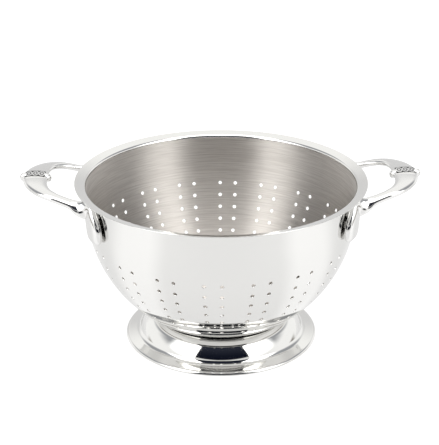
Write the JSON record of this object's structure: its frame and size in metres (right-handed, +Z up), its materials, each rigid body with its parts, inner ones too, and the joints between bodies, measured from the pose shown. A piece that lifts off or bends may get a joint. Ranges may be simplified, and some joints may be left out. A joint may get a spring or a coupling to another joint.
{
  "type": "colander",
  "caption": "Round steel colander with a pierced bowl, flat rolled-out rim, flared foot ring and cast loop handles on the sides.",
  "frame": {"origin": "centre of the foot ring's resting circle, on the surface the colander stands on", "axes": "+Z up out of the bowl, +X through the middle of the right handle, -Y to the side seen in the picture"},
  "size_m": [0.3646, 0.2666, 0.162],
  "materials": {
    "bowl": "mirror-polished outside, finely brushed round the bowl inside",
    "foot_ring": "mirror-polished pressed sheet",
    "handle_right": "polished casting with dark recesses in the tied-bud ornament",
    "handle_left": "polished casting with dark recesses in the tied-bud ornament",
    "studs": "plain weld studs, turned and unpolished"
  },
  "bodies": {
    "root": {"bowl": "bowl", "foot_ring": "foot_ring", "handle_right": "handle_right", "handle_left": "handle_left", "stud_right_front_upper": "studs", "stud_right_front_lower": "studs", "stud_right_back_upper": "studs", "stud_right_back_lower": "studs", "stud_left_front_upper": "studs", "stud_left_front_lower": "studs", "stud_left_back_upper": "studs", "stud_left_back_lower": "studs"}
  },
  "joints": []
}
